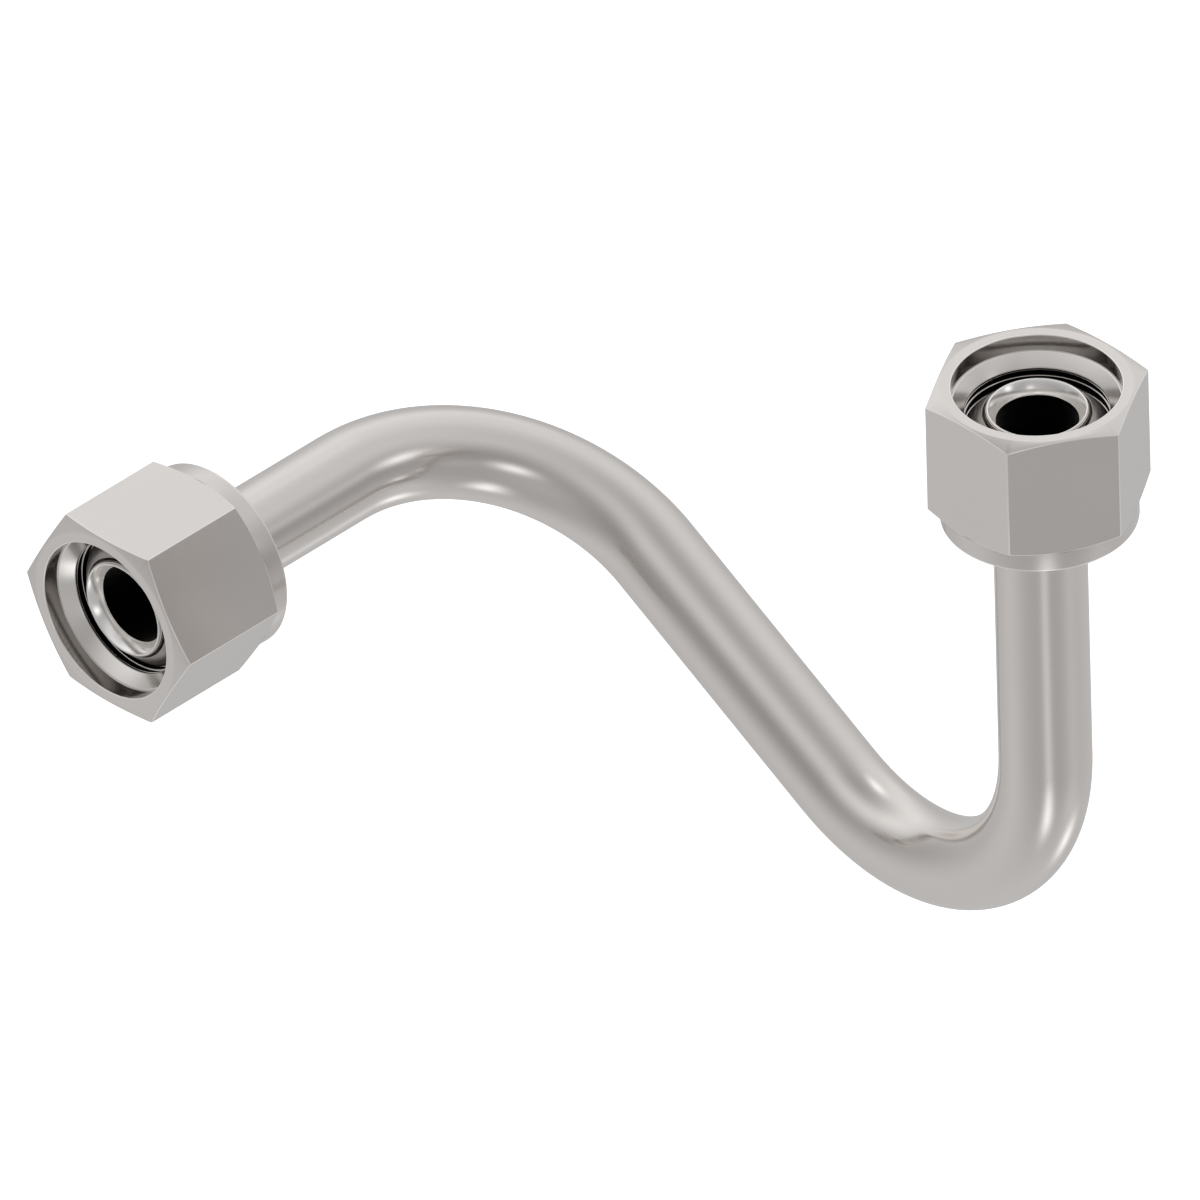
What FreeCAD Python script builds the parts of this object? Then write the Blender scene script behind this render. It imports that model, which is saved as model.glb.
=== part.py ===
import FreeCAD
import Part
import math
import os

# A rigid line: one bent tube with a rolled lip at each end, a domed sealing sleeve behind
# each lip, and a hexagonal union nut that turns freely on the tube behind each sleeve.
# Units are millimetres. The origin is the centre of the left nut's mouth. The left nut
# opens along +X and the right nut opens along +Z.

# Tube route, as the corners that the centre line would have with no bends
left_leg = 48.75          # left mouth to the first corner, along -X
run_dx = 4.97             # first corner to the second corner, along X
run_dy = 68.80            # first corner to the second corner, along Y
run_dz = -33.05           # first corner to the second corner, along Z
right_leg = 68.80         # second corner to the right mouth, along +Z
bend_radius = 19.1        # centre line of both bends

# Tube section
tube_od = 8.0
tube_wall = 0.5

# Rolled lip: the end is flared, and its edge is turned back over the outside of the tube
lip_roll = 0.60           # radial, outside of the lip over the outside of the tube
lip_front = 0.45          # crest of the lip to its full outside diameter
lip_length = 1.83         # crest of the lip to the back of the rolled wall
crest_rise = 0.27         # radial, crest of the lip over the outside of the tube
crest_round = 0.15        # inner rounding of the crest
flare_round = 3.43        # the flare inside the lip, as an arc in section
flare_front_deg = 38.0    # slope of the flare to the axis, next to the crest
flare_back_deg = 16.0     # slope of the flare to the axis, next to the bore
throat_blend = 0.08       # back of the flare to the plain bore, along the axis
left_crest_depth = 2.10   # left mouth plane to the crest of the lip
right_crest_depth = 2.37  # right mouth plane, nut drawn up against its sleeve

# Sleeve, measured from the crest of the lip
sleeve_od = 12.20
lip_gap = 0.08            # radial gap between the lip and the sleeve's counterbore
nose_start = 0.45         # crest to the front edge of the sleeve
nose_radius = 7.75        # dome of the front face
sleeve_shoulder = 5.53    # crest to the start of the rear cone
sleeve_rear_radius = 5.0  # small end of the 45 degree rear cone

# Union nut, measured from its mouth plane
nut_af = 17.0             # across flats
nut_length = 13.5
face_radius = 8.25        # front face, where the corner chamfer starts
face_chamfer_deg = 15.0
back_corner = 10.95       # mouth plane to the back end of the hexagon's corners
back_chamfer_deg = 27.0
collar_radius = 8.5
collar_edge = 0.25
sleeve_clearance = 0.09   # radial, sleeve inside the minor diameter of the M14 x 1.5 thread
lead_in_width = 1.095     # radial, thread's minor diameter up to the mouth recess
recess_depth = 1.60       # plain recess that clears the 14 mm male thread
seat_clearance = 0.07     # axial, between the nut's 45 degree seat and the sleeve
tube_clearance = 0.05     # radial, nut on tube
hole_edge = 0.30          # chamfer at the back of the tube hole
turning_allowance = 0.40  # blank the chamfers are turned on, past the hexagon's corners
cut_overrun = 1.0         # the bore cutter reaches past both end faces


def vec(x, y, z):
    return FreeCAD.Vector(x, y, z)


def corners():
    left_mouth = vec(0, 0, 0)
    first = vec(-left_leg, 0, 0)
    second = first + vec(run_dx, run_dy, run_dz)
    right_mouth = second + vec(0, 0, right_leg)
    return left_mouth, first, second, right_mouth


def bend(before, corner, after):
    """Tangent arc of the bend radius at one corner: start, middle and end point."""
    back = (before - corner).normalize()
    ahead = (after - corner).normalize()
    half = 0.5 * back.getAngle(ahead)
    tangent = bend_radius / math.tan(half)
    middle_dir = (back + ahead).normalize()
    centre = corner + middle_dir * (bend_radius / math.sin(half))
    start = corner + back * tangent
    end = corner + ahead * tangent
    middle = centre - middle_dir * bend_radius
    return start, middle, end


def centre_line():
    left_mouth, first, second, right_mouth = corners()
    start = left_mouth - vec(left_crest_depth + lip_length, 0, 0)
    end = right_mouth - vec(0, 0, right_crest_depth + lip_length)
    a0, a1, a2 = bend(left_mouth, first, second)
    b0, b1, b2 = bend(first, second, right_mouth)
    edges = [
        Part.LineSegment(start, a0).toShape(),
        Part.Arc(a0, a1, a2).toShape(),
        Part.LineSegment(a2, b0).toShape(),
        Part.Arc(b0, b1, b2).toShape(),
        Part.LineSegment(b2, end).toShape(),
    ]
    return Part.Wire(edges), start


def swept_rod(radius):
    path, start = centre_line()
    circle = Part.Wire([Part.makeCircle(radius, start, vec(-1, 0, 0))])
    return path.makePipe(Part.Face(circle))


def turned(points, arc_after=None):
    """Solid of revolution about local Z from (radius, depth) points. arc_after maps a
    point's index to the mid point of an arc that replaces the straight edge after it."""
    arcs = arc_after or {}
    edges = []
    count = len(points)
    for i in range(count):
        here = vec(points[i][0], 0, points[i][1])
        there = vec(points[(i + 1) % count][0], 0, points[(i + 1) % count][1])
        if i in arcs:
            mid = vec(arcs[i][0], 0, arcs[i][1])
            edges.append(Part.Arc(here, mid, there).toShape())
        else:
            edges.append(Part.LineSegment(here, there).toShape())
    face = Part.Face(Part.Wire(edges))
    return face.revolve(vec(0, 0, 0), vec(0, 0, 1), 360)


def place_left(shape, depth):
    """Local Z (depth) runs into the left nut, along -X."""
    moved = shape.copy()
    moved.Placement = FreeCAD.Placement(
        vec(-depth, 0, 0), FreeCAD.Rotation(vec(0, 0, 1), vec(-1, 0, 0)))
    return moved


def place_right(shape, depth):
    """Local Z (depth) runs into the right nut, along -Z."""
    right_mouth = corners()[3]
    moved = shape.copy()
    moved.Placement = FreeCAD.Placement(
        right_mouth - vec(0, 0, depth), FreeCAD.Rotation(vec(0, 1, 0), 180))
    return moved


def lip():
    """Rolled lip with its crest at depth 0, joined to the plain tube at its back end."""
    bore = tube_od / 2 - tube_wall
    outer = tube_od / 2 + lip_roll
    crest = tube_od / 2 + crest_rise
    front = math.radians(flare_front_deg)
    back = math.radians(flare_back_deg)

    def crest_point(slope):
        return (crest - crest_round * math.cos(slope),
                crest_round - crest_round * math.sin(slope))

    flare_top = crest_point(front)
    centre = (flare_top[0] + flare_round * math.cos(front),
              flare_top[1] + flare_round * math.sin(front))

    def flare_point(slope):
        return (centre[0] - flare_round * math.cos(slope),
                centre[1] - flare_round * math.sin(slope))

    throat = flare_point(back)
    points = [
        throat,
        flare_top,
        (crest, 0),
        (outer, lip_front),
        (outer, lip_length),
        (bore, lip_length),
        (bore, throat[1] + throat_blend),
    ]
    arcs = {
        0: flare_point((front + back) / 2),
        1: crest_point((front + math.radians(90)) / 2),
        2: (crest + (outer - crest) * math.sqrt(0.5), lip_front * (1 - math.sqrt(0.5))),
    }
    return turned(points, arcs)


def tube():
    outer = swept_rod(tube_od / 2)
    inner = swept_rod(tube_od / 2 - tube_wall)
    body = outer.cut(inner)
    body = body.fuse(place_left(lip(), left_crest_depth))
    body = body.fuse(place_right(lip(), right_crest_depth))
    return body.removeSplitter()


def sleeve():
    """Domed sleeve, measured from the crest of the lip. It sits on the tube."""
    outer = sleeve_od / 2
    mouth = tube_od / 2 + lip_roll + lip_gap
    seat = tube_od / 2
    dome_centre = nose_start + math.sqrt(nose_radius ** 2 - mouth ** 2)
    edge_depth = dome_centre - math.sqrt(nose_radius ** 2 - outer ** 2)
    middle = (mouth + outer) / 2
    middle_depth = dome_centre - math.sqrt(nose_radius ** 2 - middle ** 2)
    rear = sleeve_shoulder + outer - sleeve_rear_radius
    points = [
        (mouth, nose_start),
        (outer, edge_depth),
        (outer, sleeve_shoulder),
        (sleeve_rear_radius, rear),
        (seat, rear),
        (seat, lip_length),
        (mouth, lip_length),
    ]
    return turned(points, {0: (middle, middle_depth)})


def nut_outside():
    corner = nut_af / 2 / math.cos(math.radians(30))
    beyond = corner + turning_allowance
    front = (beyond - face_radius) * math.tan(math.radians(face_chamfer_deg))
    back_slope = math.tan(math.radians(back_chamfer_deg))
    back_far = back_corner - (beyond - corner) * back_slope
    back_near = back_corner + (corner - collar_radius) * back_slope
    points = [
        (0, 0),
        (face_radius, 0),
        (beyond, front),
        (beyond, back_far),
        (collar_radius, back_near),
        (collar_radius, nut_length - collar_edge),
        (collar_radius - collar_edge, nut_length),
        (0, nut_length),
    ]
    slant = collar_edge * (1 - math.sqrt(0.5))
    envelope = turned(points, {5: (collar_radius - slant, nut_length - slant)})
    ring = []
    for k in range(7):
        angle = math.radians(90 + 60 * k)
        ring.append(vec(corner * math.cos(angle), corner * math.sin(angle), 0))
    prism = Part.Face(Part.makePolygon(ring)).extrude(vec(0, 0, nut_length))
    return prism.common(envelope)


def nut():
    hole = tube_od / 2 + tube_clearance
    minor = sleeve_od / 2 + sleeve_clearance
    recess_radius = minor + lead_in_width
    recess_end = recess_depth + lead_in_width
    seat_sum = right_crest_depth + sleeve_shoulder + sleeve_od / 2 + seat_clearance
    points = [
        (0, -cut_overrun),
        (recess_radius, -cut_overrun),
        (recess_radius, recess_depth),
        (minor, recess_end),
        (minor, seat_sum - minor),
        (hole, seat_sum - hole),
        (hole, nut_length - hole_edge),
        (hole + hole_edge, nut_length),
        (hole + hole_edge, nut_length + cut_overrun),
        (0, nut_length + cut_overrun),
    ]
    return nut_outside().cut(turned(points))


def main():
    os.makedirs("parts", exist_ok=True)
    solids = {
        "line_tube": tube(),
        "left_sleeve": place_left(sleeve(), left_crest_depth),
        "right_sleeve": place_right(sleeve(), right_crest_depth),
        "left_nut": place_left(nut(), 0),
        "right_nut": place_right(nut(), 0),
    }
    for name, shape in solids.items():
        shape.exportStep("parts/" + name + ".step")
        box = shape.BoundBox
        print(name, "solids", len(shape.Solids), "valid", shape.isValid(),
              "volume", round(shape.Volume, 2),
              "box", [round(v, 3) for v in (box.XMin, box.YMin, box.ZMin,
                                            box.XMax, box.YMax, box.ZMax)])


main()
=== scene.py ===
import bpy
import bmesh
import math
from mathutils import Matrix, Vector


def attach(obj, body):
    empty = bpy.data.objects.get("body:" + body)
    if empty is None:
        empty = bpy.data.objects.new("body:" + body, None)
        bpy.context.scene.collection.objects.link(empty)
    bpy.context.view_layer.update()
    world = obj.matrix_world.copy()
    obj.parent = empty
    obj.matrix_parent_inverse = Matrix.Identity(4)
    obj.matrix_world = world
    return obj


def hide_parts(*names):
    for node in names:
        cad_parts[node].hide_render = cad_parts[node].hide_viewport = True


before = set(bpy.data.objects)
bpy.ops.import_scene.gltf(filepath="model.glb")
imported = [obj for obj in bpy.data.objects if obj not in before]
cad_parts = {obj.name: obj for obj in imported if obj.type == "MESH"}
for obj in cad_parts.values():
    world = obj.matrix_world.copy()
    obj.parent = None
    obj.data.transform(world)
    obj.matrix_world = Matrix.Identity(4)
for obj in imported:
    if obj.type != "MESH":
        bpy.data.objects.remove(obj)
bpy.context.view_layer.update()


# The tube: thin-walled stainless steel, 8 mm outside with a 0.5 mm wall, drawn smooth and
# bent cold round a former in two places. Each end is rolled outwards and back over itself
# into a full round lip, which holds the sealing sleeve on the tube.

tube_radius = 0.0040
bore_radius = 0.0035
bend_radius = 0.0191
left_mouth = Vector((0.0, 0.0, 0.0))
first_corner = Vector((-0.04875, 0.0, 0.0))
second_corner = Vector((-0.04378, 0.0688, -0.03305))
right_mouth = Vector((-0.04378, 0.0688, 0.03575))
left_crest = left_mouth + Vector((-0.00210, 0.0, 0.0))
right_crest = right_mouth + Vector((0.0, 0.0, -0.00237))
crest_radius = 0.00427        # the lip's foremost ring
bore_depth = 0.00130          # crest of the lip to the plain bore
tube_vertices = 128
bend_steps = 44
merge_distance = 0.0000005


def rounding(radius, depth, across, along, first, last, steps):
    """Points of radius and depth on part of an ellipse about a centre: 0 degrees points
    away from the axis, and 90 degrees points forwards, to less depth."""
    points = []
    for step in range(steps + 1):
        angle = math.radians(first + (last - first) * step / steps)
        points.append((radius + across * math.cos(angle), depth - along * math.sin(angle)))
    return points


# The lip from its crest outwards and from its crest inwards, as radius and depth behind it
lip_outside = (rounding(crest_radius, 0.00045, 0.00024, 0.00045, 90, 0, 8)
               + rounding(0.00438, 0.00170, 0.00013, 0.00013, 0, -90, 6)
               + [(tube_radius, 0.00183)])
lip_inside = (rounding(crest_radius, 0.00015, 0.00015, 0.00015, 90, 142, 6)
              + rounding(0.006855, 0.002169, 0.00343, 0.00343, 142, 164, 8)[1:]
              + [(bore_radius, bore_depth)])


def start_ring(radius, centre, axis, vertices):
    """A circle square to an axis, left in edit mode with all of it selected."""
    bpy.ops.object.select_all(action="DESELECT")
    turn = Vector(axis).to_track_quat("Z", "Y").to_euler()
    bpy.ops.mesh.primitive_circle_add(vertices=vertices, radius=radius, location=centre,
                                      rotation=turn)
    bpy.ops.object.transform_apply(location=True, rotation=True, scale=True)
    bpy.ops.object.mode_set(mode="EDIT")
    bpy.ops.mesh.select_mode(type="EDGE")
    bpy.ops.mesh.select_all(action="SELECT")
    return {"radius": radius, "centre": Vector(centre)}


def draw_on(ring, radius, centre):
    """Extrudes the selected ring to a new place and opens or closes it to a new radius."""
    move = Vector(centre) - ring["centre"]
    bpy.ops.mesh.extrude_region_move(TRANSFORM_OT_translate={"value": move})
    grow = radius / ring["radius"]
    bpy.ops.transform.resize(value=(grow, grow, grow), center_override=centre)
    ring["radius"] = radius
    ring["centre"] = Vector(centre)


def round_bend(ring, before, corner, after, steps):
    """Runs the selected ring up to a bend and spins it round the former."""
    back = (before - corner).normalized()
    ahead = (after - corner).normalized()
    half = 0.5 * back.angle(ahead)
    middle = (back + ahead).normalized()
    former = corner + middle * (bend_radius / math.sin(half))
    reach = bend_radius / math.tan(half)
    draw_on(ring, ring["radius"], corner + back * reach)
    bpy.ops.mesh.spin(steps=steps, angle=math.pi - 2 * half, center=former,
                      axis=back.cross(ahead).normalized())
    ring["centre"] = corner + ahead * reach


ring = start_ring(crest_radius, left_crest, (1, 0, 0), tube_vertices)
for radius, depth in lip_outside[1:]:
    draw_on(ring, radius, left_crest + Vector((-depth, 0, 0)))
round_bend(ring, left_mouth, first_corner, second_corner, bend_steps)
round_bend(ring, first_corner, second_corner, right_mouth, bend_steps)
for radius, depth in reversed(lip_outside):
    draw_on(ring, radius, right_crest + Vector((0, 0, -depth)))
for radius, depth in lip_inside[1:-1]:
    draw_on(ring, radius, right_crest + Vector((0, 0, -depth)))
bore_from = len(bmesh.from_edit_mesh(bpy.context.object.data).faces)
draw_on(ring, bore_radius, right_crest + Vector((0, 0, -bore_depth)))
round_bend(ring, right_mouth, second_corner, first_corner, bend_steps)
round_bend(ring, second_corner, first_corner, left_mouth, bend_steps)
draw_on(ring, bore_radius, left_crest + Vector((-bore_depth, 0, 0)))
draw_on(ring, lip_inside[-2][0], left_crest + Vector((-lip_inside[-2][1], 0, 0)))
bore_to = len(bmesh.from_edit_mesh(bpy.context.object.data).faces)
for radius, depth in reversed(lip_inside[:-2]):
    draw_on(ring, radius, left_crest + Vector((-depth, 0, 0)))
bpy.ops.mesh.select_all(action="SELECT")
bpy.ops.mesh.remove_doubles(threshold=merge_distance)
bpy.ops.mesh.normals_make_consistent(inside=False)
bpy.ops.object.mode_set(mode="OBJECT")
tube = bpy.context.object
tube.name = "bent_tube"
bpy.ops.object.shade_smooth_by_angle(angle=math.radians(40))


def steel_skin():
    """Node group for bright steel: slow changes of tone, and fine lines left by the tool."""
    group = bpy.data.node_groups.new("steel_skin", "ShaderNodeTree")
    socket = group.interface.new_socket
    socket("Place", in_out="INPUT", socket_type="NodeSocketVector")
    socket("Lines", in_out="INPUT", socket_type="NodeSocketVector")
    socket("Light tone", in_out="INPUT", socket_type="NodeSocketColor")
    socket("Dark tone", in_out="INPUT", socket_type="NodeSocketColor")
    socket("Smoothest", in_out="INPUT", socket_type="NodeSocketFloat")
    socket("Roughest", in_out="INPUT", socket_type="NodeSocketFloat")
    socket("Tone", in_out="OUTPUT", socket_type="NodeSocketColor")
    socket("Roughness", in_out="OUTPUT", socket_type="NodeSocketFloat")
    socket("Height", in_out="OUTPUT", socket_type="NodeSocketFloat")
    nodes, links = group.nodes, group.links
    inward = nodes.new("NodeGroupInput")
    outward = nodes.new("NodeGroupOutput")

    cloud = nodes.new("ShaderNodeTexNoise")
    cloud.inputs["Scale"].default_value = 90.0
    cloud.inputs["Detail"].default_value = 4.0
    links.new(inward.outputs["Place"], cloud.inputs["Vector"])
    grain = nodes.new("ShaderNodeTexNoise")
    grain.inputs["Scale"].default_value = 1.0
    grain.inputs["Detail"].default_value = 6.0
    grain.inputs["Roughness"].default_value = 0.6
    links.new(inward.outputs["Lines"], grain.inputs["Vector"])
    blend = nodes.new("ShaderNodeMath")
    blend.operation = "MULTIPLY_ADD"
    links.new(grain.outputs["Fac"], blend.inputs[0])
    blend.inputs[1].default_value = 0.6
    links.new(cloud.outputs["Fac"], blend.inputs[2])

    tone = nodes.new("ShaderNodeMix")
    tone.data_type = "RGBA"
    links.new(blend.outputs[0], tone.inputs[0])
    links.new(inward.outputs["Light tone"], tone.inputs[6])
    links.new(inward.outputs["Dark tone"], tone.inputs[7])
    links.new(tone.outputs[2], outward.inputs["Tone"])
    rough = nodes.new("ShaderNodeMapRange")
    rough.inputs["From Min"].default_value = 0.5
    rough.inputs["From Max"].default_value = 1.1
    links.new(blend.outputs[0], rough.inputs["Value"])
    links.new(inward.outputs["Smoothest"], rough.inputs["To Min"])
    links.new(inward.outputs["Roughest"], rough.inputs["To Max"])
    links.new(rough.outputs["Result"], outward.inputs["Roughness"])
    links.new(grain.outputs["Fac"], outward.inputs["Height"])
    return group


skin = steel_skin()


def steel(name, light_tone, dark_tone, smoothest, roughest, bump):
    """A steel material on the shared skin. Returns it with the skin's own node, whose Place
    and Lines are still to be linked."""
    material = bpy.data.materials.new(name)
    material.use_nodes = True
    nodes, links = material.node_tree.nodes, material.node_tree.links
    shader = nodes["Principled BSDF"]
    shader.inputs["Metallic"].default_value = 1.0
    shader.inputs["Specular Tint"].default_value = (1.0, 1.0, 1.0, 1)
    surface = nodes.new("ShaderNodeGroup")
    surface.node_tree = skin
    surface.inputs["Light tone"].default_value = light_tone
    surface.inputs["Dark tone"].default_value = dark_tone
    surface.inputs["Smoothest"].default_value = smoothest
    surface.inputs["Roughest"].default_value = roughest
    relief = nodes.new("ShaderNodeBump")
    relief.inputs["Strength"].default_value = bump
    relief.inputs["Distance"].default_value = 0.00001
    links.new(surface.outputs["Tone"], shader.inputs["Base Color"])
    links.new(surface.outputs["Roughness"], shader.inputs["Roughness"])
    links.new(surface.outputs["Height"], relief.inputs["Height"])
    links.new(relief.outputs["Normal"], shader.inputs["Normal"])
    return material, surface


def fine_grain(material, surface, spread):
    """An even grain on Object coordinates, as polishing leaves it."""
    nodes, links = material.node_tree.nodes, material.node_tree.links
    place = nodes.new("ShaderNodeTexCoord")
    spacing = nodes.new("ShaderNodeMapping")
    spacing.inputs["Scale"].default_value = (spread, spread, spread)
    links.new(place.outputs["Object"], surface.inputs["Place"])
    links.new(place.outputs["Object"], spacing.inputs["Vector"])
    links.new(spacing.outputs["Vector"], surface.inputs["Lines"])


tube_steel, tube_surface = steel("drawn_tube_steel", (0.785, 0.750, 0.725, 1),
                                 (0.749, 0.715, 0.690, 1), 0.12, 0.15, 0.10)
fine_grain(tube_steel, tube_surface, 2500)

# Inside, the tube's bore is painted near-black: painted shade deep in the bore.
bore_painted_shade, bore_painted_shade_surface = steel("bore_steel_painted_shade", (0.003, 0.003, 0.003, 1),
                                (0.001, 0.001, 0.001, 1), 0.55, 0.75, 0.3)
fine_grain(bore_painted_shade, bore_painted_shade_surface, 900)
# The painted shade shows only to rays from the camera; reflected rays see the bore as bright
# metal, which paints a light reflection of the bore into the lip.
nodes, links = bore_painted_shade.node_tree.nodes, bore_painted_shade.node_tree.links
straight = nodes.new("ShaderNodeLightPath")
painted_shade_by_ray = nodes.new("ShaderNodeMix")
painted_shade_by_ray.data_type = "RGBA"
painted_shade_by_ray.inputs[6].default_value = (0.95, 0.93, 0.91, 1)
links.new(straight.outputs["Is Camera Ray"], painted_shade_by_ray.inputs[0])
links.new(bore_painted_shade_surface.outputs["Tone"], painted_shade_by_ray.inputs[7])
links.new(painted_shade_by_ray.outputs[2], nodes["Principled BSDF"].inputs["Base Color"])
tube.data.materials.append(tube_steel)
tube.data.materials.append(bore_painted_shade)

# The flare inside each lip is a brighter copy of the tube's steel: painted light inside the lip.
lip_painted_light, lip_painted_light_surface = steel("lip_steel_painted_light", (0.985, 0.965, 0.945, 1),
                               (0.960, 0.940, 0.920, 1), 0.14, 0.17, 0.05)
fine_grain(lip_painted_light, lip_painted_light_surface, 2500)
tube.data.materials.append(lip_painted_light)
in_bore, in_flare = 1, 2
# The bore's faces take the painted shade, and the flare's faces take the lip's painted light.
for face in tube.data.polygons:
    if bore_from <= face.index < bore_to:
        face.material_index = in_bore
    else:
        from_left = left_crest - face.center
        from_right = right_crest - face.center
        if (math.hypot(from_left.y, from_left.z) < crest_radius and from_left.x < bore_depth
                or math.hypot(from_right.x, from_right.y) < crest_radius
                and from_right.z < bore_depth):
            face.material_index = in_flare

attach(tube, "line")
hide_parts("line_tube")


# The sealing sleeves: turned stainless steel, pressed on the tube behind its rolled lip. The
# domed nose seals in the port, and the nut pushes on the cone at the back. Both are alike.

nose_radius = 0.00775
nose_bore = 0.00468           # counterbore that takes the rolled lip
nose_edge = 0.00473
sleeve_radius = 0.0061
nose_start = 0.00045          # crest of the lip to the front of the nose
dome_centre = nose_start + math.sqrt(nose_radius ** 2 - nose_bore ** 2)
seat_radius = 0.00402         # a press fit on the tube
lip_length = 0.00183
sleeve_length = 0.00663
sleeve_outline = ([(seat_radius, lip_length), (nose_bore, lip_length)]
                  + rounding(nose_edge, 0.00051, 0.00005, 0.00005, 180, 90, 6))
dome_end = 0.00604
dome_steps = 14
for step in range(1, dome_steps + 1):
    radius = nose_edge + (dome_end - nose_edge) * step / dome_steps
    sleeve_outline.append((radius, dome_centre - math.sqrt(nose_radius ** 2 - radius ** 2)))
sleeve_outline += (rounding(0.00602, sleeve_outline[-1][1] + 0.00007, 0.00008, 0.00007, 50, 0, 5)
                   + [(sleeve_radius, 0.00548)]
                   + rounding(0.00602, 0.00550, 0.00008, 0.00008, 0, -45, 4)
                   + rounding(0.00502, 0.00655, 0.00008, 0.00008, -45, -90, 4)
                   + [(seat_radius, sleeve_length), (seat_radius, lip_length)])


def turn_outline(name, outline, vertices):
    """Turns a closed outline of radius and depth on the Z axis, with depth going down."""
    ring = start_ring(outline[0][0], Vector((0, 0, -outline[0][1])), (0, 0, 1), vertices)
    for radius, depth in outline[1:]:
        draw_on(ring, radius, Vector((0, 0, -depth)))
    bpy.ops.mesh.select_all(action="SELECT")
    bpy.ops.mesh.remove_doubles(threshold=merge_distance)
    bpy.ops.mesh.normals_make_consistent(inside=False)
    bpy.ops.object.mode_set(mode="OBJECT")
    piece = bpy.context.object
    piece.name = name
    return piece


def keep_own_place(piece):
    """Stores every point's place on the lathe, before the piece goes to its own end, so that
    tool marks stay with the piece when it is moved."""
    own = piece.data.attributes.new("own_place", "FLOAT_VECTOR", "POINT")
    for index, point in enumerate(piece.data.vertices):
        own.data[index].vector = point.co


def copy_to(piece, name, place, turn):
    """A copy with its own mesh, turned and moved to its end of the tube."""
    bpy.ops.object.select_all(action="DESELECT")
    bpy.context.view_layer.objects.active = piece
    piece.select_set(True)
    bpy.ops.object.duplicate(linked=False)
    copy = bpy.context.object
    copy.name = name
    copy.rotation_euler = turn
    copy.location = place
    bpy.ops.object.transform_apply(location=True, rotation=True, scale=True)
    return copy


def turned_lines(material, surface, spacing):
    """Rings left by a lathe tool: the pattern changes only with radius and depth."""
    nodes, links = material.node_tree.nodes, material.node_tree.links
    own = nodes.new("ShaderNodeAttribute")
    own.attribute_name = "own_place"
    parts = nodes.new("ShaderNodeSeparateXYZ")
    across = nodes.new("ShaderNodeVectorMath")
    across.operation = "MULTIPLY"
    across.inputs[1].default_value = (1.0, 1.0, 0.0)
    radius = nodes.new("ShaderNodeVectorMath")
    radius.operation = "LENGTH"
    rings = nodes.new("ShaderNodeCombineXYZ")
    spaced = nodes.new("ShaderNodeVectorMath")
    spaced.operation = "SCALE"
    spaced.inputs["Scale"].default_value = spacing
    links.new(own.outputs["Vector"], surface.inputs["Place"])
    links.new(own.outputs["Vector"], parts.inputs[0])
    links.new(own.outputs["Vector"], across.inputs[0])
    links.new(across.outputs["Vector"], radius.inputs[0])
    links.new(radius.outputs["Value"], rings.inputs["X"])
    links.new(parts.outputs["Z"], rings.inputs["Y"])
    links.new(rings.outputs["Vector"], spaced.inputs[0])
    links.new(spaced.outputs["Vector"], surface.inputs["Lines"])


sleeve_vertices = 144
sleeve = turn_outline("sleeve_blank", sleeve_outline, sleeve_vertices)
bpy.ops.object.shade_smooth_by_angle(angle=math.radians(16))
keep_own_place(sleeve)
sleeve_steel, sleeve_surface = steel("turned_sleeve_steel", (0.785, 0.750, 0.725, 1),
                                     (0.729, 0.695, 0.670, 1), 0.42, 0.46, 0.25)
turned_lines(sleeve_steel, sleeve_surface, 9000)
sleeve.data.materials.append(sleeve_steel)
left_turn = (0.0, math.radians(90), 0.0)
left_sleeve = copy_to(sleeve, "left_sealing_sleeve", left_crest, left_turn)
right_sleeve = copy_to(sleeve, "right_sealing_sleeve", right_crest, (0.0, 0.0, 0.0))
bpy.data.objects.remove(sleeve)
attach(left_sleeve, "line")
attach(right_sleeve, "line")
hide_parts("left_sleeve")
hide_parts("right_sleeve")


# The union nuts: cut from 17 mm hexagon bar and turned at both ends, with a plain recess, a
# lead-in cone and an M14 x 1.5 thread inside. Each hangs on the tube behind its sleeve and
# turns freely there. Both are alike.

half_flats = 0.0085
hexagon_corner = half_flats / math.cos(math.radians(30))
spare = 0.0004                # turned past the hexagon's corners
blank_radius = hexagon_corner + spare
face_radius = 0.00825         # flat front face, out to the corner chamfer
mouth_radius = 0.00740        # outer end of the mouth's broken edge
thread_radius = 0.00619       # minor radius of the thread
hexagon_end = 0.01095         # mouth plane to the back end of the hexagon's corners
collar_radius = 0.00849
face_fall = (blank_radius - face_radius) * math.tan(math.radians(15))
back_slope = math.tan(math.radians(27))
nut_outline = ([(mouth_radius, 0.0), (face_radius, 0.0), (blank_radius, face_fall),
                (blank_radius, hexagon_end - spare * back_slope),
                (collar_radius, hexagon_end + (hexagon_corner - collar_radius) * back_slope)]
               + rounding(collar_radius - 0.00025, 0.01325, 0.00025, 0.00025, 0, -90, 8)
               + rounding(0.00436, 0.01339, 0.00011, 0.00011, -90, -135, 4)
               + rounding(0.00416, 0.01319, 0.00011, 0.00011, -135, -180, 4)
               + [(0.00405, 0.01004), (0.00407, 0.01000), (0.00616, 0.00791),
                  (thread_radius, 0.00785)])

# Three turns of the thread: a flat crest with broken edges, and the groove behind it
for groove in (0.00657, 0.00507, 0.00357):
    nut_outline += [(thread_radius, groove + 0.00076), (0.00622, groove + 0.00072),
                    (0.00630, groove + 0.00068), (0.00690, groove + 0.00052),
                    (0.00695, groove + 0.00047), (0.00695, groove + 0.00023),
                    (0.00690, groove + 0.00018), (0.00630, groove + 0.00002),
                    (0.00622, groove - 0.00002), (thread_radius, groove - 0.00006)]

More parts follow.
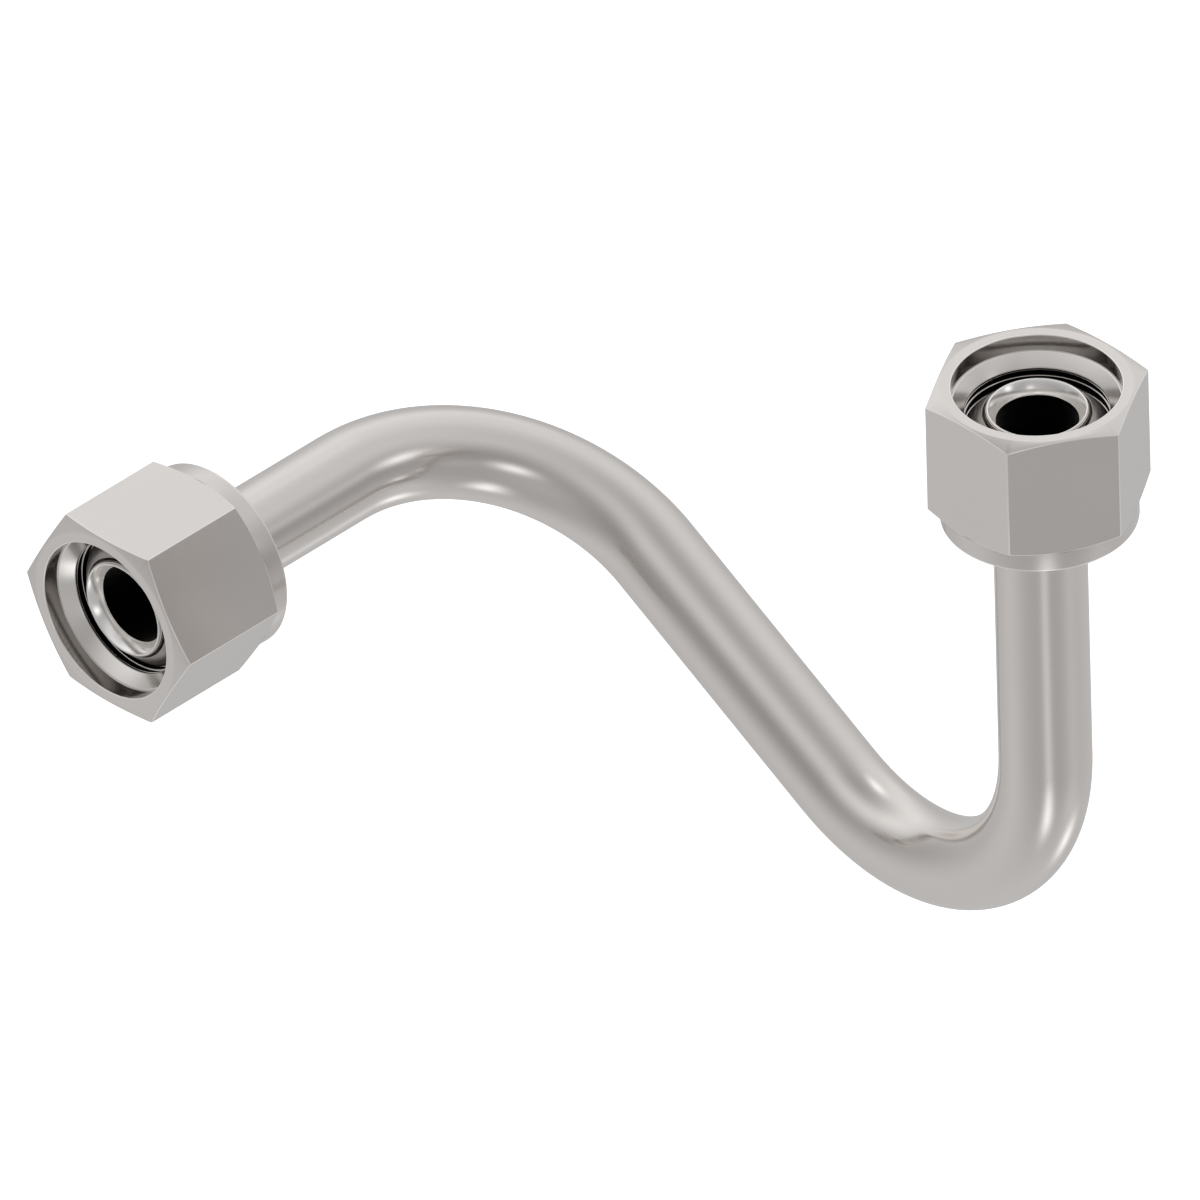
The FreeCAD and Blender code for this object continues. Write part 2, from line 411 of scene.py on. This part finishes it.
# The run-out groove in front of the first turn, and a narrow one behind the lead-in cone
nut_outline += [(thread_radius, 0.00349), (0.00622, 0.00345), (0.00630, 0.00341),
                (0.00685, 0.00327), (0.00690, 0.00322), (0.00690, 0.00310),
                (0.00685, 0.00306), (0.00630, 0.00296), (0.00622, 0.00294),
                (thread_radius, 0.00293), (thread_radius, 0.002875), (0.00624, 0.00285),
                (0.00636, 0.00280), (0.00636, 0.00273), (thread_radius, 0.00270)]

# The lead-in cone, the narrow ledge round its top, the plain recess and its broken edge
nut_outline += (rounding(0.00633, 0.00268, 0.00014, 0.00014, 180, 138, 4)
                + rounding(0.00724, 0.00173, 0.00013, 0.00013, 138, 90, 5)
                + [(0.00727, 0.00160), (0.007285, 0.001585)]
                + rounding(0.007385, 0.0001, 0.0001, 0.0001, 180, 90, 8)
                + [(mouth_radius, 0.0)])

nut_vertices = 192
nut = turn_outline("nut_blank", nut_outline, nut_vertices)
bpy.ops.object.mode_set(mode="EDIT")
for side in range(6):
    angle = math.radians(60 * side)
    outward = Vector((math.cos(angle), math.sin(angle), 0.0))
    bpy.ops.mesh.select_all(action="SELECT")
    bpy.ops.mesh.bisect(plane_co=outward * half_flats, plane_no=outward, use_fill=True,
                        clear_outer=True, threshold=0.0000002)
bpy.ops.mesh.select_mode(type="EDGE")
bpy.ops.mesh.select_all(action="DESELECT")
nut_mesh = bmesh.from_edit_mesh(nut.data)
nut_mesh.normal_update()


def is_flat(face):
    """One of the hexagon's six flats: square to the axis and half_flats away from it."""
    middle = face.calc_center_median()
    across = Vector((middle.x, middle.y, 0.0))
    return (abs(face.normal.z) < 0.001 and face.normal.dot(across) > half_flats - 0.0000005
            and face.calc_area() > 0.00001)


for edge in nut_mesh.edges:
    if any(is_flat(face) for face in edge.link_faces):
        edge.select_set(True)
bmesh.update_edit_mesh(nut.data)
edge_break = 0.00008
bpy.ops.mesh.bevel(offset=edge_break, segments=5, affect="EDGES")
# Numbers of the nut's materials, in the order in which they are appended below
by_lathe, by_die, in_thread, on_edge, in_recess, on_cone = range(6)
nut_mesh = bmesh.from_edit_mesh(nut.data)
# The bevel's faces take the painted highlight of the edges.
for face in nut_mesh.faces:
    face.material_index = on_edge if face.select and not is_flat(face) else by_lathe
bmesh.update_edit_mesh(nut.data)
bpy.ops.mesh.select_all(action="SELECT")
bpy.ops.mesh.normals_make_consistent(inside=False)
bpy.ops.object.mode_set(mode="OBJECT")
bpy.ops.object.shade_smooth_by_angle(angle=math.radians(14))
even = nut.modifiers.new("even_shading", "WEIGHTED_NORMAL")
even.keep_sharp = True
even.weight = 100
bpy.ops.object.modifier_apply(modifier=even.name)
keep_own_place(nut)

turned_steel, turned_surface = steel("turned_nut_steel", (0.777, 0.742, 0.718, 1),
                                     (0.727, 0.694, 0.670, 1), 0.15, 0.18, 0.25)
turned_lines(turned_steel, turned_surface, 7000)
flat_steel, flat_surface = steel("drawn_flat_steel", (0.761, 0.727, 0.704, 1),
                                 (0.729, 0.697, 0.674, 1), 0.15, 0.17, 0.15)


def drawn_lines(material, surface, across, along):
    """Faint lines along the bar, left by the die that the hexagon was drawn through."""
    nodes, links = material.node_tree.nodes, material.node_tree.links
    own = nodes.new("ShaderNodeAttribute")
    own.attribute_name = "own_place"
    stretch = nodes.new("ShaderNodeMapping")
    stretch.inputs["Scale"].default_value = (across, across, along)
    links.new(own.outputs["Vector"], surface.inputs["Place"])
    links.new(own.outputs["Vector"], stretch.inputs["Vector"])
    links.new(stretch.outputs["Vector"], surface.inputs["Lines"])


drawn_lines(flat_steel, flat_surface, 5000, 120)
nut.data.materials.append(turned_steel)
nut.data.materials.append(flat_steel)

# The thread is a near-black copy of the steel, painted shade deep inside the nut, except on its
# broken edges.
thread_painted_shade, thread_painted_shade_surface = steel("thread_steel_painted_shade", (0.045, 0.042, 0.039, 1),
                                    (0.020, 0.019, 0.018, 1), 0.35, 0.50, 0.40)
turned_lines(thread_painted_shade, thread_painted_shade_surface, 7000)
nut.data.materials.append(thread_painted_shade)

# Every rounded edge is a brighter copy of the steel than the faces beside it: a painted
# highlight along each edge.
edge_painted_highlight, edge_painted_highlight_surface = steel("edge_steel_painted_highlight", (0.950, 0.930, 0.910, 1),
                                 (0.900, 0.880, 0.860, 1), 0.13, 0.16, 0.10)
turned_lines(edge_painted_highlight, edge_painted_highlight_surface, 7000)
nut.data.materials.append(edge_painted_highlight)

# The recess is a darker copy of the steel, painted shade inside the mouth; the lead-in cone is a
# brighter copy, painted light.
recess_painted_shade, recess_painted_shade_surface = steel("recess_steel_painted_shade", (0.545, 0.522, 0.502, 1),
                                     (0.525, 0.503, 0.483, 1), 0.13, 0.15, 0.05)
turned_lines(recess_painted_shade, recess_painted_shade_surface, 7000)
nut.data.materials.append(recess_painted_shade)
cone_painted_light, cone_painted_light_surface = steel("cone_steel_painted_light", (0.842, 0.811, 0.784, 1),
                                 (0.812, 0.781, 0.754, 1), 0.14, 0.18, 0.15)
turned_lines(cone_painted_light, cone_painted_light_surface, 7000)
nut.data.materials.append(cone_painted_light)
# By place, faces take the painted shade of the thread and the recess, the painted light of the
# cone, and the painted highlight at the collar's end, the mouth's edge and the ledge.
for face in nut.data.polygons:
    if face.material_index == on_edge:
        continue
    across = math.hypot(face.center.x, face.center.y)
    depth = -face.center.z
    collar_end = across > 0.0082 and depth > 0.01325
    mouth_edge = across < mouth_radius and depth < 0.0001
    ledge = across > 0.0070 and 0.00158 < depth < 0.00180
    upright = abs(face.normal.z) < 0.02
    broken = 0.006195 < across < 0.006295
    if collar_end or mouth_edge or ledge:
        face.material_index = on_edge
    elif 0.0027 < depth < 0.0079 and across < 0.0072 and not broken:
        face.material_index = in_thread
    elif upright and across > 0.0084 and 0.0003 < depth < 0.0122:
        face.material_index = by_die
    elif across < 0.0072 and 0.0017 < depth < 0.0027:
        face.material_index = on_cone
    elif across < 0.0075 and depth < 0.0016:
        face.material_index = in_recess
left_nut = copy_to(nut, "left_union_nut", left_mouth, left_turn)
right_nut = copy_to(nut, "right_union_nut", right_mouth, (0.0, 0.0, 0.0))
bpy.data.objects.remove(nut)
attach(left_nut, "left_union")
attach(right_nut, "right_union")
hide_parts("left_nut")
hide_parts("right_nut")


# The studio: a plain white floor well below the line, a pale surround that is a little
# brighter from below and from -X, soft lamps round it that the metal mirrors, and the camera.

bpy.ops.object.select_all(action="DESELECT")
floor_size = 12.0
floor_height = -0.5
bpy.ops.mesh.primitive_plane_add(size=floor_size, location=(0, 0, floor_height))
floor = bpy.context.object
floor.name = "studio_floor"
floor.visible_glossy = False
white = bpy.data.materials.new("white_floor")
white.use_nodes = True
paint = white.node_tree.nodes["Principled BSDF"]
paint.inputs["Base Color"].default_value = (0.92, 0.92, 0.92, 1)
paint.inputs["Roughness"].default_value = 0.9
paint.inputs["Emission Color"].default_value = (1, 1, 1, 1)
paint.inputs["Emission Strength"].default_value = 0.75
floor.data.materials.append(white)

# Each lamp: degrees round from +X, degrees up, tightness, brightness. The last two are dark
# cards, which take a little light away.
lamps = [(-109, 29, 10, 0.49), (-165, 49, 4, 0.46), (-75, 38, 19, 0.41), (-44, 44, 15, 0.42),
         (-5, 53, 12, 0.42), (52, 58, 12, 0.33), (108, 51, 16, 0.24), (145, 47, 40, 0.08),
         (61, 13, 85, 0.83), (115, 23, 100, 0.81), (39, 5, 5, 0.28), (84, 2, 60, 0.09),
         (112, -19, 350, 0.49), (116, -45, 36, 0.11), (53, -43, 110, 0.47),
         (54, -54, 95, 0.70), (148, -60, 100, 0.73), (-37, -18, 3, 0.41),
         (-105, -11, 18, 0.18), (-140, 59, 120, 0.65), (-149, 23, 40, 0.12),
         (-4, -82, 3, 0.14),
         (-134, 36, 40, 0.045), (125, 5, 40, -0.085), (-159, -53, 60, -0.04)]

soft_lamp = bpy.data.node_groups.new("soft_lamp", "ShaderNodeTree")
for label, kind in (("Direction", "NodeSocketVector"), ("Towards", "NodeSocketVector"),
                    ("Tightness", "NodeSocketFloat"), ("Brightness", "NodeSocketFloat")):
    soft_lamp.interface.new_socket(label, in_out="INPUT", socket_type=kind)
soft_lamp.interface.new_socket("Light", in_out="OUTPUT", socket_type="NodeSocketFloat")
given = soft_lamp.nodes.new("NodeGroupInput")
result = soft_lamp.nodes.new("NodeGroupOutput")
facing = soft_lamp.nodes.new("ShaderNodeVectorMath")
facing.operation = "DOT_PRODUCT"
away = soft_lamp.nodes.new("ShaderNodeMath")
away.operation = "SUBTRACT"
away.inputs[1].default_value = 1.0
narrow = soft_lamp.nodes.new("ShaderNodeMath")
narrow.operation = "MULTIPLY"
fade = soft_lamp.nodes.new("ShaderNodeMath")
fade.operation = "EXPONENT"
glow = soft_lamp.nodes.new("ShaderNodeMath")
glow.operation = "MULTIPLY"
soft_lamp.links.new(given.outputs["Direction"], facing.inputs[0])
soft_lamp.links.new(given.outputs["Towards"], facing.inputs[1])
soft_lamp.links.new(facing.outputs["Value"], away.inputs[0])
soft_lamp.links.new(away.outputs[0], narrow.inputs[0])
soft_lamp.links.new(given.outputs["Tightness"], narrow.inputs[1])
soft_lamp.links.new(narrow.outputs[0], fade.inputs[0])
soft_lamp.links.new(fade.outputs[0], glow.inputs[0])
soft_lamp.links.new(given.outputs["Brightness"], glow.inputs[1])
soft_lamp.links.new(glow.outputs[0], result.inputs["Light"])

surround = bpy.data.worlds.new("soft_surround")
surround.use_nodes = True
bpy.context.scene.world = surround
nodes, links = surround.node_tree.nodes, surround.node_tree.links
direction = nodes.new("ShaderNodeTexCoord")
slope = nodes.new("ShaderNodeVectorMath")
slope.operation = "DOT_PRODUCT"
towards_brighter = (-0.198, 0.039, -0.140)
slope.inputs[1].default_value = towards_brighter
links.new(direction.outputs["Generated"], slope.inputs[0])
total = nodes.new("ShaderNodeMath")
total.operation = "ADD"
even_light = 0.305
total.inputs[1].default_value = even_light
links.new(slope.outputs["Value"], total.inputs[0])
for round_degrees, up_degrees, tightness, brightness in lamps:
    lamp = nodes.new("ShaderNodeGroup")
    lamp.node_tree = soft_lamp
    around, up = math.radians(round_degrees), math.radians(up_degrees)
    lamp.inputs["Towards"].default_value = (math.cos(up) * math.cos(around),
                                            math.cos(up) * math.sin(around), math.sin(up))
    lamp.inputs["Tightness"].default_value = tightness
    lamp.inputs["Brightness"].default_value = brightness
    links.new(direction.outputs["Generated"], lamp.inputs["Direction"])
    more = nodes.new("ShaderNodeMath")
    more.operation = "ADD"
    links.new(total.outputs[0], more.inputs[0])
    links.new(lamp.outputs["Light"], more.inputs[1])
    total = more
seen = nodes.new("ShaderNodeLightPath")
plain = nodes.new("ShaderNodeMix")
plain.data_type = "FLOAT"
backdrop = 1.05               # just past white, as the photograph's
plain.inputs[3].default_value = backdrop
links.new(seen.outputs["Is Camera Ray"], plain.inputs[0])
links.new(total.outputs[0], plain.inputs[2])
links.new(plain.outputs[0], nodes["Background"].inputs["Strength"])
nodes["Background"].inputs["Color"].default_value = (1.0, 1.0, 1.0, 1)

bpy.context.scene.view_settings.view_transform = "Standard"
camera_data = bpy.data.cameras.new("photo_view")
camera_data.type = "ORTHO"
picture_width = 0.10164
camera_data.ortho_scale = picture_width
camera_data.clip_start = 0.01
camera_data.clip_end = 20.0
camera = bpy.data.objects.new("photo_view", camera_data)
bpy.context.scene.collection.objects.link(camera)
rightward = Vector((-0.7063, 0.7076, -0.0195))
upward = Vector((-0.4248, -0.4017, 0.8113))
viewer = Vector((0.5662, 0.5813, 0.5843))
middle = Vector((-0.030354, 0.028967, 0.000598))
stand = Matrix((rightward, upward, viewer)).transposed().to_4x4()
distance = 0.5
stand.translation = middle + viewer * distance
camera.matrix_world = stand
bpy.context.scene.camera = camera
